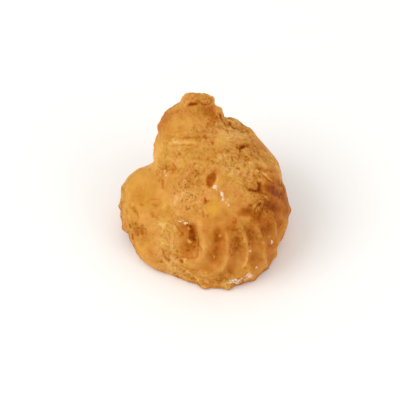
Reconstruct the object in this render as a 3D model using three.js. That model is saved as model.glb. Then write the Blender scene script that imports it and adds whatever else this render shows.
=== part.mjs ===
// Cream puff: one choux bun, piped in a spiral with a star nozzle and baked until it browned and split.
// Millimetres, +Z up. The origin is the middle of the flat underside. The piped ridges fan out over
// the front right, the swollen cheek is on the left, and the little peak leans to the back left.
import * as THREE from "three";

// Driving dimensions
const faceTilt = 50;        // degrees above the table from which the face is laid out
const columns = 98;         // round the bun
const rows = 55;            // from the underside's rim to the peak
const crowding = 0.34;      // how much closer the columns stand on the ridged side
const ridgedSide = -62;     // degrees from +X to the middle of the ridged side
const footHeight = 4;       // above the table, where the relief turns from outward to level
const crustColour = 0xd0913f;

// The dough swelled into these lobes: middle, radii, softness of the join to those before, squareness
const lobes = [
  { name: "bun", at: [6.9, -0.6, 14.6], radii: [28.9, 33.6, 36.1], join: 0, power: 2 },
  { name: "cheek", at: [-11.4, 3.2, 12.5], radii: [25.9, 20.4, 20.1], join: 9.9, power: 2.1 },
  { name: "hip", at: [-10.8, -5.5, 5.5], radii: [21.3, 21.2, 13.3], join: 8.8, power: 2 },
  { name: "shoulder", at: [9.2, 13.2, 28.1], radii: [17.8, 19.4, 16.6], join: 6.6, power: 2 },
  { name: "neck", at: [-6, 14, 33.3], radii: [16.4, 16.9, 12.8], join: 5.5, power: 2 },
  { name: "top", at: [-5.2, 21, 40.5], radii: [15, 13.3, 13], join: 4.4, power: 2.1 },
  { name: "peak", at: [-3.6, 26.2, 52.5], radii: [7.1, 4.3, 4.1], join: 3.5, power: 2.6 },
  { name: "nib", at: [3.2, 25.2, 48.2], radii: [3, 2.9, 3.3], join: 3.5, power: 2 },
  { name: "collar", at: [9.2, 21.5, 35.1], radii: [6.9, 8.9, 9.2], join: 4, power: 2 },
  { name: "foot", at: [5.5, -1.3, 1.5], radii: [26.3, 32, 4.7], join: 3.3, power: 2 },
];

// A leaning line inside the dough, from the underside up into the peak; the skin is found from it
const spine = new THREE.CubicBezierCurve3(
  new THREE.Vector3(2, 0, 0),
  new THREE.Vector3(2, 0, 22),
  new THREE.Vector3(-2, 13, 40),
  new THREE.Vector3(-3, 26, 52.5),
);
const spineShare = 0.93;    // share of the rows that climb the spine, the rest close over its end
const reach = 60;           // farther from the spine than any skin
// How far the rays tip up from level with the spine: share of the way up, degrees
const tips = [[0, 0], [0.35, 14], [0.6, 30], [0.8, 38], [0.9, 52], [1, 90]];

// Ridges left by the nozzle, on the face: points across and up it, half width, height
const ridges = [
  {
    name: "ridge 1", half: 1.7, height: 1.3,
    along: [[-3, 8], [-2.1, 3.4], [-0.9, -0.9], [-0.2, -5.1], [-0.2, -8.6], [-1.4, -12.4]],
  },
  {
    name: "ridge 2", half: 1.3, height: 1.3,
    along: [[7.3, 3.4], [8.6, 0], [9.4, -4.3], [9.4, -8.6], [9, -12], [7.3, -15.4], [3.9, -18], [-5.6, -19]],
  },
  {
    name: "ridge 3", half: 1.3, height: 1.25,
    along: [[13.7, 5.1], [15.4, 0.9], [17.1, -4.3], [17.6, -8.6], [17.1, -12], [15.4, -15.4], [8.1, -21.4]],
  },
  {
    name: "ridge 4", half: 1.3, height: 1.25,
    along: [[16.7, 4.7], [20.4, 2], [22.6, -1], [23.8, -4], [24.3, -8], [24.9, -12], [27, -16.7]],
  },
  {
    name: "ridge 5", half: 1.5, height: 1.1,
    along: [[24, 7.8], [26.6, 5.1], [28.6, 1.7], [30, -2], [30.6, -5.6], [30.9, -11.6]],
  },
  { name: "ridge 6", half: 1.7, height: 0.6, along: [[27, 8.2], [31.4, 6.4], [34, 3.4]] },
  {
    name: "ridge 7", half: 2.1, height: 0.9,
    along: [[14.5, 12.6], [21.4, 13.6], [28.7, 12], [34.3, 9.4], [40, 6]],
  },
  { name: "ridge 8", half: 2, height: 0.5, along: [[16.5, 22.5], [22.5, 24], [29, 23.4], [34, 20.5]] },
  { name: "left corner", half: 1.5, height: 1, along: [[-3, -20], [-0.5, -23.5], [0.5, -28]] },
  { name: "middle corner", half: 1.6, height: 1.2, along: [[6, -20], [9.5, -24], [11, -28]] },
  { name: "right corner", half: 1.5, height: 1.1, along: [[17.5, -15.5], [19.6, -19], [21.6, -23.5]] },
];

// Troughs between the ridges, and the splits where the crust tore
const troughs = [
  {
    name: "trough 1", half: 2.2, height: -1.3,
    along: [[3.9, 3.4], [4.7, -0.9], [5.1, -6], [4.3, -10.3], [1.7, -13.3], [-3, -15.8]],
  },
  {
    name: "trough 2", half: 2, height: -1.3,
    along: [[11.6, 4.3], [12.9, -0.9], [13.7, -6], [13.3, -10.7], [12, -14.6], [9.4, -18], [4.7, -20.1]],
  },
  {
    name: "trough 3", half: 2.2, height: -1.3,
    along: [[17.3, 2.1], [19.5, -1.7], [20.6, -6.4], [21, -11.1], [20.6, -14.6]],
  },
  {
    name: "trough 4", half: 1.9, height: -1.1,
    along: [[24, 3], [26.3, -0.9], [27.3, -5.6], [27.9, -11.1], [28.7, -14.6]],
  },
  {
    name: "trough 5", half: 1.7, height: -0.9,
    along: [[30.2, 4.3], [32, 0.9], [32.8, -2.6], [33, -6], [33.2, -8.6]],
  },
  {
    name: "trough 6", half: 2, height: -0.7,
    along: [[15.4, 8.1], [20.1, 8.1], [24.4, 9.4], [28.7, 9.4], [33, 6.9]],
  },
  {
    name: "long split", half: 1.7, height: -1.2,
    along: [[16.3, 20.2], [17.2, 18], [19, 16.8], [22.5, 16.4], [26, 15.4]],
  },
  {
    name: "back split", half: 1.6, height: -0.9,
    along: [[5.6, 48.4], [8.8, 45.4], [12, 45], [15.4, 43.9], [19.2, 42]],
  },
  { name: "fold", half: 1.4, height: -0.7, along: [[-24, -11], [-19.6, -14.6], [-15, -17]] },
];

// Hollows on the face: middle, half width, half length, turn in degrees, depth, steepness
const hollows = [
  { name: "pit", at: [-5.6, -1.8], half: [1.8, 3.8], turn: -4, depth: 1.8, steep: 2 },
  { name: "pit's floor", at: [-7, -4], half: [4.2, 7.2], turn: -5, depth: 1.5, steep: 2 },
  { name: "pit's shelf", at: [-10.6, -4], half: [3.4, 6.6], turn: -8, depth: 0.5, steep: 1.2 },
  { name: "dimple", at: [2.4, 21.4], half: [2.1, 3.6], turn: -22, depth: 0.9, steep: 2 },
  { name: "patch", at: [-7, 19.8], half: [3, 2.4], turn: 0, depth: 0.6, steep: 1.5 },
  { name: "nick", at: [15.9, 35.6], half: [2.6, 1.7], turn: 20, depth: 0.9, steep: 1.5 },
  { name: "crater", at: [-28.3, -0.8], half: [2.8, 1.7], turn: 0, depth: 0.7, steep: 1.8 },
  { name: "under the peak", at: [1.8, 51], half: [3, 2.6], turn: 0, depth: 0.9, steep: 1.5 },
  { name: "notch", at: [-15, 26.6], half: [3.4, 1.8], turn: -15, depth: 1, steep: 1.5 },
  { name: "bay", at: [17.6, 8.2], half: [2.6, 1.7], turn: 5, depth: 0.8, steep: 1.5 },
  { name: "well", at: [28, 10], half: [3.2, 2.4], turn: -20, depth: 0.4, steep: 1.5 },
  { name: "dip", at: [-20, 18], half: [5.5, 5.5], turn: 0, depth: 0.9, steep: 1.2 },
];

// Where the edge of the crust falls back, or swells where the depth is negative, right round the edge
const crags = [
  { name: "left dent", at: [-36.6, 13.6], half: [2.6, 3.4], turn: 0, depth: 1.3, steep: 1 },
  { name: "right dent", at: [34.6, 21], half: [2.6, 5], turn: 20, depth: 1.2, steep: 1 },
  { name: "low right dent", at: [32.4, -8.8], half: [2, 2.4], turn: 0, depth: 1.6, steep: 1 },
  { name: "high left dent", at: [-15, 54], half: [2.6, 2], turn: 30, depth: 0.8, steep: 1 },
  { name: "left notch", at: [-24.6, 27.8], half: [4, 2], turn: 20, depth: 0.9, steep: 1 },
  { name: "left spike", at: [-36.4, 18.6], half: [1.2, 1.2], turn: 0, depth: -0.6, steep: 1 },
  { name: "low left knuckle", at: [-35.4, 1], half: [1.5, 1.5], turn: 0, depth: -0.7, steep: 1 },
  { name: "left low swell", at: [-37, 7.6], half: [1.4, 2.6], turn: 0, depth: 0.5, steep: 1 },
  { name: "right shoulder", at: [22.8, 38.4], half: [4, 3], turn: 0, depth: 0.9, steep: 1 },
  { name: "peak's right corner", at: [0.4, 59], half: [2.2, 1.3], turn: 0, depth: 1, steep: 1 },
  { name: "peak's left", at: [-7.6, 58], half: [2.8, 1.4], turn: 0, depth: -0.6, steep: 1 },
  { name: "peak's right side", at: [3.6, 56], half: [1.2, 1.6], turn: 0, depth: -1, steep: 1 },
  { name: "nib's top", at: [7, 53.6], half: [1.4, 1.2], turn: 0, depth: 0.8, steep: 1 },
  { name: "nib's side", at: [6.6, 52], half: [1.6, 1.4], turn: 0, depth: -0.8, steep: 1 },
  { name: "low left side", at: [-30.9, -8.6], half: [3, 5], turn: 40, depth: 0.9, steep: 1 },
  { name: "left low side", at: [-37, 3.4], half: [2, 7], turn: 0, depth: 0.6, steep: 1 },
  { name: "high left side", at: [-18, 51.4], half: [2.5, 2.5], turn: 0, depth: 0.7, steep: 1 },
  { name: "high right side", at: [30.4, 28.5], half: [3, 5], turn: 30, depth: -0.7, steep: 1 },
  { name: "front right foot", at: [15.5, -23.6], half: [5, 1.8], turn: 20, depth: 0.8, steep: 1 },
];

// The nozzle's flutes carried round the back, about an axis through the ridges' meeting point
const rosette = {
  middle: new THREE.Vector3(4.6, -1, 16),
  axis: new THREE.Vector3(0.139, -0.606, 0.783).normalize(),
  count: 15,                // flutes in a full turn
  phase: -7,                // degrees
  twist: 0.5,               // degrees round for each degree down the side
  straight: 36,             // degrees from the axis where the twist begins
  from: [35, 60],           // degrees from the axis over which they rise
  half: 3.2,
  height: 1.3,
};

// Uneven swelling of the crust: size and height of the lumps
const lumps = [
  { size: 5, height: 0.45, seed: 1.3 },
  { size: 2.4, height: 0.22, seed: 4.1 },
];

const radians = THREE.MathUtils.degToRad;
const eye = new THREE.Vector3(0, -Math.cos(radians(faceTilt)), Math.sin(radians(faceTilt)));

// 0 below low, 1 above high, easing between
function ease(low, high, x) {
  return THREE.MathUtils.smoothstep(x, low, high);
}

// Nearly the distance from p to a rounded block: negative inside, zero on its skin
function lobeDistance(p, lobe) {
  const q = [p.x, p.y, p.z].map((value, axis) => Math.abs(value - lobe.at[axis]) / lobe.radii[axis]);
  const size = q.reduce((sum, value) => sum + value ** lobe.power, 0) ** (1 / lobe.power);
  const slope = Math.hypot(...q.map((value, axis) => value ** (lobe.power - 1) / lobe.radii[axis]));
  return (size - 1) * Math.max(size, 1e-9) ** (lobe.power - 1) / Math.max(slope, 1e-9);
}

// The lesser of two distances, with the corner between them rounded over the join
function softMin(a, b, join) {
  const near = Math.max(join - Math.abs(a - b), 0) / join;
  return Math.min(a, b) - near ** 3 * join / 6;
}

function doughDistance(p) {
  return lobes.slice(1).reduce(
    (distance, lobe) => softMin(distance, lobeDistance(p, lobe), lobe.join),
    lobeDistance(p, lobes[0]),
  );
}

// The direction straight out of the dough at p
function outward(p) {
  const step = 0.05;
  const slope = ["x", "y", "z"].map((axis) => {
    const ahead = p.clone();
    const behind = p.clone();
    ahead[axis] += step;
    behind[axis] -= step;
    return doughDistance(ahead) - doughDistance(behind);
  });
  return new THREE.Vector3(...slope).normalize();
}

// Piecewise straight lookup in a table of [place, value] pairs
function lookUp(table, place) {
  const next = table.findIndex((pair) => pair[0] >= place);
  if (next <= 0) return table[Math.max(next, 0)][1];
  const [[before, low], [after, high]] = [table[next - 1], table[next]];
  return THREE.MathUtils.mapLinear(place, before, after, low, high);
}

// The point of the skin met by a ray from the spine: round the bun by turn, up it by climb (0 to 1)
function skin(turn, climb) {
  const along = Math.min(climb / spineShare, 1);
  const start = spine.getPoint(along);
  const up = spine.getTangent(along);
  const side = new THREE.Vector3(1, 0, 0).addScaledVector(up, -up.x).normalize();
  const depth = new THREE.Vector3().crossVectors(up, side);
  const tip = radians(lookUp(tips, climb));
  const level = side.multiplyScalar(Math.cos(turn)).addScaledVector(depth, Math.sin(turn));
  const ray = level.multiplyScalar(Math.cos(tip)).addScaledVector(up, Math.sin(tip));
  let inside = 0;
  let outside = reach;
  for (let halving = 0; halving < 26; halving += 1) {
    const middle = (inside + outside) / 2;
    if (doughDistance(start.clone().addScaledVector(ray, middle)) < 0) inside = middle;
    else outside = middle;
  }
  return start.addScaledVector(ray, outside);
}

// The climbs at which rows stand the same distance apart up the skin
function evenClimbs(count) {
  const fine = 200;
  const spokes = 12;
  const table = [[0, 0]];
  for (let step = 1; step <= fine; step += 1) {
    let gap = 0;
    for (let spoke = 0; spoke < spokes; spoke += 1) {
      const turn = spoke / spokes * 2 * Math.PI;
      gap += skin(turn, step / fine).distanceTo(skin(turn, (step - 1) / fine));
    }
    table.push([table[step - 1][0] + gap, step / fine]);
  }
  const whole = table[fine][0];
  return Array.from({ length: count }, (_, row) => lookUp(table, whole * row / (count - 1)));
}

// How far (x, y) is from a smooth line through the points, and its share of the way along
function nearLine(x, y, line) {
  let best = { distance: Infinity, share: 0 };
  for (let step = 1; step < line.length; step += 1) {
    const [a, b] = [line[step - 1], line[step]];
    const run = [b.x - a.x, b.y - a.y];
    const part = ((x - a.x) * run[0] + (y - a.y) * run[1]) / (run[0] ** 2 + run[1] ** 2);
    const held = THREE.MathUtils.clamp(part, 0, 1);
    const distance = Math.hypot(x - a.x - held * run[0], y - a.y - held * run[1]);
    if (distance < best.distance) best = { distance, share: (step - 1 + held) / (line.length - 1) };
  }
  return best;
}

const furrows = [...ridges, ...troughs].map((mark) => ({
  ...mark,
  line: new THREE.SplineCurve(mark.along.map((pair) => new THREE.Vector2(...pair))).getPoints(24),
}));

// A ridge or trough swells in over its first part and fades towards its end
function furrowHeight(x, y, furrow) {
  const { distance, share } = nearLine(x, y, furrow.line);
  const swell = 0.15 + 0.85 * ease(0, 0.3, share);
  const fade = 1 - 0.6 * ease(0.8, 1, share);
  return furrow.height * swell * fade * Math.exp(-((distance / furrow.half) ** 2));
}

function hollowDepth(x, y, hollow) {
  const turn = radians(hollow.turn);
  const [dx, dy] = [x - hollow.at[0], y - hollow.at[1]];
  const across = (dx * Math.cos(turn) + dy * Math.sin(turn)) / hollow.half[0];
  const along = (dy * Math.cos(turn) - dx * Math.sin(turn)) / hollow.half[1];
  return hollow.depth * Math.exp(-0.9 * (across ** 2 + along ** 2) ** hollow.steep);
}

// The flutes that the nozzle leaves all round, by the angle about the rosette's axis
function fluteHeight(p) {
  const level = new THREE.Vector3(1, 0, 0).addScaledVector(rosette.axis, -rosette.axis.x).normalize();
  const down = new THREE.Vector3().crossVectors(level, rosette.axis);
  const arm = p.clone().sub(rosette.middle);
  const reachOut = arm.length();
  const away = THREE.MathUtils.radToDeg(Math.acos(arm.dot(rosette.axis) / reachOut));
  const round = THREE.MathUtils.radToDeg(Math.atan2(arm.dot(down), arm.dot(level)));
  const spacing = 360 / rosette.count;
  const turned = round - rosette.phase - rosette.twist * Math.max(away - rosette.straight, 0);
  const off = turned / spacing - Math.round(turned / spacing);
  const distance = off * radians(spacing) * Math.sin(radians(away)) * reachOut;
  return rosette.height * ease(...rosette.from, away) * (Math.exp(-((distance / rosette.half) ** 2)) - 0.45);
}

// Rounded bumps from products and sums of sines
function lumpHeight(p, lump) {
  const [x, y, z] = [p.x / lump.size, p.y / lump.size, p.z / lump.size];
  const { seed } = lump;
  const cells = Math.sin(x * 1.1 + seed) * Math.sin(y * 1.3 + 2 * seed + 0.4) * Math.sin(z * 1.2 + 3 * seed);
  const across = Math.sin(x * 2.3 - y * 1.1 + z * 0.9 + seed * 5);
  const upward = Math.sin(y * 2.1 + z * 1.7 - x * 0.7 + seed * 7);
  return lump.height * (cells + 0.24 * (across + upward));
}

// Everything that stands out from or cuts into the plain lobes at p
function relief(p, normal) {
  const x = p.x;
  const y = p.y * eye.z - p.z * eye.y;
  const facing = normal.dot(eye);
  const front = ease(-0.35, 0, facing);
  const face = ease(0, 0.3, facing);
  const furrowed = furrows.reduce((sum, furrow) => sum + furrowHeight(x, y, furrow), 0);
  const hollowed = hollows.reduce((sum, hollow) => sum + hollowDepth(x, y, hollow), 0);
  const fallen = crags.reduce((sum, crag) => sum + hollowDepth(x, y, crag), 0);
  const lumpy = lumps.reduce((sum, lump) => sum + lumpHeight(p, lump), 0);
  return (furrowed - fallen) * front - hollowed * face + fluteHeight(p) * (1 - front) + lumpy;
}

// A skin point with its relief; near the table the relief goes level, so that the rim stays on z = 0
function crust(turn, climb) {
  const point = skin(turn, climb);
  const normal = outward(point);
  const height = relief(point, normal);
  normal.z *= ease(0, footHeight, point.z);
  point.addScaledVector(normal.normalize(), height);
  point.z = climb === 0 ? 0 : Math.max(point.z, 0.05);
  return point;
}

// Columns crowd together on the ridged side, where the detail is
function columnTurn(column) {
  const even = column / columns * 2 * Math.PI;
  return even - crowding * Math.sin(even - radians(ridgedSide));
}

// One closed body: the flat underside, the rows of crust, and the peak's last point
function puffGeometry() {
  const climbs = evenClimbs(rows + 1);
  const points = [new THREE.Vector3(0, 0, 0)];
  for (const climb of climbs.slice(0, rows)) {
    for (let column = 0; column < columns; column += 1) points.push(crust(columnTurn(column), climb));
  }
  points.push(crust(0, 1));
  const corner = (row, column) => 1 + row * columns + column % columns;
  const apart = (one, other) => points[one].distanceTo(points[other]);
  const faces = [];
  for (let column = 0; column < columns; column += 1) {
    faces.push(0, corner(0, column + 1), corner(0, column));
    for (let row = 1; row < rows; row += 1) {
      const [low, lowNext] = [corner(row - 1, column), corner(row - 1, column + 1)];
      const [high, highNext] = [corner(row, column), corner(row, column + 1)];
      // each four-sided patch is split along its shorter diagonal, which follows the ridges
      const leaning = apart(low, highNext) < apart(lowNext, high);
      faces.push(low, lowNext, leaning ? highNext : high);
      faces.push(leaning ? low : lowNext, highNext, high);
    }
    faces.push(corner(rows - 1, column), corner(rows - 1, column + 1), points.length - 1);
  }
  const geometry = new THREE.BufferGeometry().setFromPoints(points);
  geometry.setIndex(faces);
  geometry.computeVertexNormals();
  return geometry;
}

const puff = new THREE.Mesh(
  puffGeometry(),
  new THREE.MeshStandardMaterial({ color: crustColour, roughness: 0.55, metalness: 0 }),
);
puff.name = "puff";

const creamPuff = new THREE.Group();
creamPuff.add(puff);

export default creamPuff;
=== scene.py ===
import math

import bpy
import numpy as np
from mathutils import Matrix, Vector


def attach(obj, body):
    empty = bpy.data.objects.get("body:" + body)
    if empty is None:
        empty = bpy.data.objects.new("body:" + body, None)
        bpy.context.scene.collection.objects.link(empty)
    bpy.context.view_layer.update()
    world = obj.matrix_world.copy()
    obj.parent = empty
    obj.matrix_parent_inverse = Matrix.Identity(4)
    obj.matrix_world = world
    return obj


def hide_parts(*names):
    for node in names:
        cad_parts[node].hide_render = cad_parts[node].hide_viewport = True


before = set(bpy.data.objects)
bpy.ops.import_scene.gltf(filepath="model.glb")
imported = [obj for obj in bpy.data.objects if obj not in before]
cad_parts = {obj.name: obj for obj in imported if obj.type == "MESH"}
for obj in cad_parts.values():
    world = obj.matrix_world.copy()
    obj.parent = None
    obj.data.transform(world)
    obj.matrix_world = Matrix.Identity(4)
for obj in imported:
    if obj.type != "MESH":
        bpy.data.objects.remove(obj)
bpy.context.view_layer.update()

# Cream puff: the browned choux crust over its imported solid, with painted shade and highlights in its
# colour, and flecks of sugar and cream and painted glints on it.
# Metres, +Z up, origin in the middle of the flat underside. Shapes are worked out in millimetres.

mm = 0.001
tiny = 1e-9  # keeps divisions away from 0
noiseCells = 32  # the noise repeats after as many cells
noiseLattice = np.random.default_rng(11).random((noiseCells,) * 3)

# The view from which the face is laid out, and the camera's place
view = {
    "tilt": 50.0,  # degrees above the table
    "target": (-2.14, 0.0, 20.0),  # mm
    "lens": 280.0,  # mm
    "sensor": 36.0,  # mm
    "nearest": 0.01,  # m
    "frameWidth": 171.4,  # mm across the picture at the target
}
tilt = math.radians(view["tilt"])
eye = np.array([0.0, -math.cos(tilt), math.sin(tilt)])


def ease(low, high, x):
    # 0 below low, 1 above high, 3t^2 - 2t^3 between
    t = np.clip((x - low) / (high - low), 0.0, 1.0)
    return t * t * (3.0 - 2.0 * t)


def unit(v):
    # every vector divided by its length
    return v / np.maximum(np.linalg.norm(v, axis=-1, keepdims=True), tiny)


def smoothLine(points, steps=8):
    # a curve through the points: uniform Catmull-Rom, with the end points carried straight on
    p = np.vstack([2 * points[0] - points[1], points, 2 * points[-1] - points[-2]])
    t = (np.arange(steps) / steps)[None, :, None]
    a, b, c, d = (p[i:len(p) - 3 + i, None] for i in range(4))
    bends = 0.5 * (2 * b + (c - a) * t + (2 * a - 5 * b + 4 * c - d) * t**2 + (3 * b - a - 3 * c + d) * t**3)
    return np.vstack([bends.reshape(-1, p.shape[1]), p[-2]])


def nearLine(x, y, line):
    # distance to the nearest piece of the line, and the share of the way along it
    best = np.full(x.shape, np.inf)
    share = np.zeros(x.shape)
    for step, (a, b) in enumerate(zip(line[:-1], line[1:])):
        run = b - a
        part = np.clip(((x - a[0]) * run[0] + (y - a[1]) * run[1]) / (run @ run), 0.0, 1.0)
        away = np.hypot(x - a[0] - part * run[0], y - a[1] - part * run[1])
        closer = away < best
        best = np.where(closer, away, best)
        share = np.where(closer, (step + part) / (len(line) - 1), share)
    return best, share


def valueNoise(points, size, shift):
    # random values on a lattice of the given size, blended smoothly between its corners, 0 to 1
    q = points / size + shift
    base = np.floor(q).astype(int)
    f = q - base
    f = f * f * (3.0 - 2.0 * f)
    total = np.zeros(points.shape[:-1])
    for corner in np.ndindex(2, 2, 2):
        x, y, z = np.moveaxis((base + corner) % noiseCells, -1, 0)
        total += np.abs(1 - np.array(corner) - f).prod(-1) * noiseLattice[x, y, z]
    return total


def roughNoise(points, height, size, octaves, shift):
    # value noise summed over octaves, each half the size and half the height, around 0
    return sum((valueNoise(points, size / 2**octave, shift + 7.3 * octave) - 0.5) * height / 2**octave
               for octave in range(octaves))


dough = {
    "lobes": {  # middle, radii, softness of the join to those before, squareness (mm)
        "bun": ((6.9, -0.6, 14.6), (28.9, 33.6, 36.1), 0, 2),
        "cheek": ((-11.4, 3.2, 12.5), (25.9, 20.4, 20.1), 9.9, 2.1),
        "hip": ((-10.8, -5.5, 5.5), (21.3, 21.2, 13.3), 8.8, 2),
        "shoulder": ((9.2, 13.2, 28.1), (17.8, 19.4, 16.6), 6.6, 2),
        "neck": ((-6, 14, 33.3), (16.4, 16.9, 12.8), 5.5, 2),
        "top": ((-5.2, 21, 40.5), (15, 13.3, 13), 4.4, 2.1),
        "peak": ((-3.6, 26.2, 52.5), (7.1, 4.3, 4.1), 3.5, 2.6),
        "nib": ((3.2, 25.2, 48.2), (3, 2.9, 3.3), 3.5, 2),
        "collar": ((9.2, 21.5, 35.1), (6.9, 8.9, 9.2), 4, 2),
        "foot": ((5.5, -1.3, 1.5), (26.3, 32, 4.7), 3.3, 2),
    },
    "spine": ((2, 0, 0), (2, 0, 22), (-2, 13, 40), (-3, 26, 52.5)),  # Bezier points inside the dough
    "spineShare": 0.93,  # share of the rows that climb the spine
    "tips": ((0, 0.35, 0.6, 0.8, 0.9, 1), (0, 14, 30, 38, 52, 90)),  # share of the climb, tip in degrees
    "reach": 60.0,
    "halvings": 24,  # steps in which a ray finds the skin
    "columns": 432,
    "rows": 228,
    "trial": (240, 12),  # rows and columns of the rough skin that spaces the rows
    "crowding": 0.4,  # how much closer the columns stand on the side that shows
    "crowdedSide": -75.0,  # degrees from +X
    "footHeight": 4.0,  # where the relief turns from outward to level
    "lift": 0.03,  # how far all but the foot's rim stays above the table
}


def lobeDistance(p, middle, radii, power):
    # nearly the distance to a rounded block: the size of its scaled coordinates less one, over the slope
    q = np.abs(p - middle) / radii
    size = (q**power).sum(-1) ** (1 / power)
    slope = np.linalg.norm(q ** (power - 1) / radii, axis=-1)
    return (size - 1) * np.maximum(size, tiny) ** (power - 1) / np.maximum(slope, tiny)


def doughDistance(p):
    # the least of the lobes' distances, with each corner between two rounded over its join
    first, *others = dough["lobes"].values()
    total = lobeDistance(p, *first[:2], first[3])
    for middle, radii, join, power in others:
        lobe = lobeDistance(p, middle, radii, power)
        near = np.maximum(join - np.abs(total - lobe), 0) / join
        total = np.minimum(total, lobe) - near**3 * join / 6
    return total


def outward(p, step=0.05):
    # the slope of the distance: straight out of the dough
    slope = [doughDistance(p + axis * step) - doughDistance(p - axis * step) for axis in np.eye(3)]
    return unit(np.stack(slope, -1))


def skin(turns, climbs):
    # points of the skin met by rays from the spine, rows by climb (0 to 1) and columns by turn
    a, b, c, d = np.array(dough["spine"], float)
    t = np.clip(climbs / dough["spineShare"], 0, 1)[:, None]
    start = (1 - t)**3 * a + 3 * (1 - t)**2 * t * b + 3 * (1 - t) * t**2 * c + t**3 * d
    up = unit((1 - t)**2 * (b - a) + 2 * (1 - t) * t * (c - b) + t**2 * (d - c))
    side = unit(np.array([1.0, 0, 0]) - up * up[:, :1])
    back = np.cross(up, side)
    tip = np.radians(np.interp(climbs, *dough["tips"]))[:, None, None]
    level = np.cos(turns)[None, :, None] * side[:, None] + np.sin(turns)[None, :, None] * back[:, None]
    ray = np.cos(tip) * level + np.sin(tip) * up[:, None]
    inside = np.zeros(ray.shape[:2])
    outside = np.full(ray.shape[:2], dough["reach"])
    for halving in range(dough["halvings"]):
        middle = (inside + outside) / 2
        under = doughDistance(start[:, None] + ray * middle[..., None]) < 0
        inside = np.where(under, middle, inside)
        outside = np.where(under, outside, middle)
    return start[:, None] + ray * outside[..., None]


def circle(count):
    # angles the same step apart, once round
    return np.arange(count) / count * 2 * math.pi


def evenClimbs(count):
    # climbs at which rows stand the same distance apart up the skin
    rows, columns = dough["trial"]
    fine = np.linspace(0, 1, rows)
    gaps = np.linalg.norm(np.diff(skin(circle(columns), fine), axis=0), axis=-1).mean(1)
    way = np.concatenate([[0], np.cumsum(gaps)])
    return np.interp(np.linspace(0, way[-1], count), way, fine)


# Lines on the face are rows of half width, height or strength, and then x and y of each point (mm)
piping = (
    # ridges, from the left
    (1.7, 1.2, -3, 8, -2.1, 3.4, -0.9, -0.9, -0.2, -5.1, -0.2, -8.6, -1.4, -12.4),
    (0.95, 1.3, 7.3, 3.4, 8.6, 0, 9.4, -4.3, 9.4, -8.6, 9, -12, 7.3, -15.2, 5.6, -16.8),
    (0.9, 0.6, 7, -15.6, 3.8, -18, 0, -18.7, -4.4, -17.6),
    (0.95, 1.25, 13.7, 5.1, 15.4, 0.9, 17.1, -4.3, 17.6, -8.6, 17.1, -12, 15.6, -15.4),
    (1, 0.7, 15.8, -15, 12.8, -18.6, 8.4, -21.2),
    (1, 1.25, 16.7, 4.7, 20.4, 2, 22.6, -1, 23.8, -4, 24.3, -8, 24.9, -12, 27, -16.7),
    (1.2, 1.1, 24, 7.8, 26.6, 5.1, 28.6, 1.7, 30, -2, 30.6, -5.6, 30.9, -11.6),
    (1.6, 0.6, 27, 8.2, 31.4, 6.4, 34, 3.4), (1.9, 0.9, 14.5, 12.6, 21.4, 13.6, 28.7, 12, 34.3, 9.4, 40, 6),
    (2, 0.5, 16.5, 22.5, 22.5, 24, 29, 23.4, 34, 20.5),
    # corners at the foot
    (1.5, 1, -3, -20, -0.5, -23.5, 0.5, -28), (1.6, 1.2, 6, -20, 9.5, -24, 11, -28),
    (1.5, 1.1, 17.5, -15.5, 19.6, -19, 21.6, -23.5),
    # troughs, and the fold on the left
    (2.2, -1.3, 3.9, 3.4, 4.7, -0.9, 5.1, -6, 4.3, -10.3, 1.7, -13.3, -3, -15.8),
    (2, -1.3, 11.6, 4.3, 12.9, -0.9, 13.7, -6, 13.3, -10.7, 12, -14.6, 9.4, -18, 4.7, -20.1),
    (2.2, -1.3, 17.3, 2.1, 19.5, -1.7, 20.6, -6.4, 21, -11.1, 20.6, -14.6),
    (1.9, -1.1, 24, 3, 26.3, -0.9, 27.3, -5.6, 27.9, -11.1, 28.7, -14.6),
    (1.6, -0.9, 30.2, 4.3, 32, 0.9, 32.8, -2.6, 33, -6, 33.2, -8.6),
    (1.8, -0.7, 15.4, 8.1, 20.1, 8.1, 24.4, 9.4, 28.7, 9.4, 33, 6.9),
    (1.4, -0.7, -24, -11, -19.6, -14.6, -15, -17),
)

tears = (  # splits and raised lips
    (0.6, -0.8, 16.8, 19, 17.8, 17.4, 19.4, 16.6, 22.5, 16.3, 26, 15.3),
    (0.7, -0.9, 23, 19.4, 23.1, 18.4, 22.8, 17),
    (0.8, -1, 5.6, 48.4, 8.8, 45.4, 12, 45, 15.4, 43.9, 19.2, 42),
    (1, 0.25, -17, 37.2, -12, 37, -8, 37.1, -4, 37.3),
    (0.8, -0.3, -15, 38.4, -9, 39.2, -2, 39.4, 4.5, 38.9),
    (1.4, -0.4, -22.6, 28.6, -18, 27.4, -12.4, 25.8, -8, 26.8),
    (1, 0.5, 7.2, 17, 7.6, 14, 9.4, 11, 12, 7.6, 15, 5.2), (0.7, -1.1, 14.2, 34.4, 15.8, 35.7, 17.6, 36.2),
    (0.8, 0.6, -7.6, 2.6, -7, -1, -7, -5),
)

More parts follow.
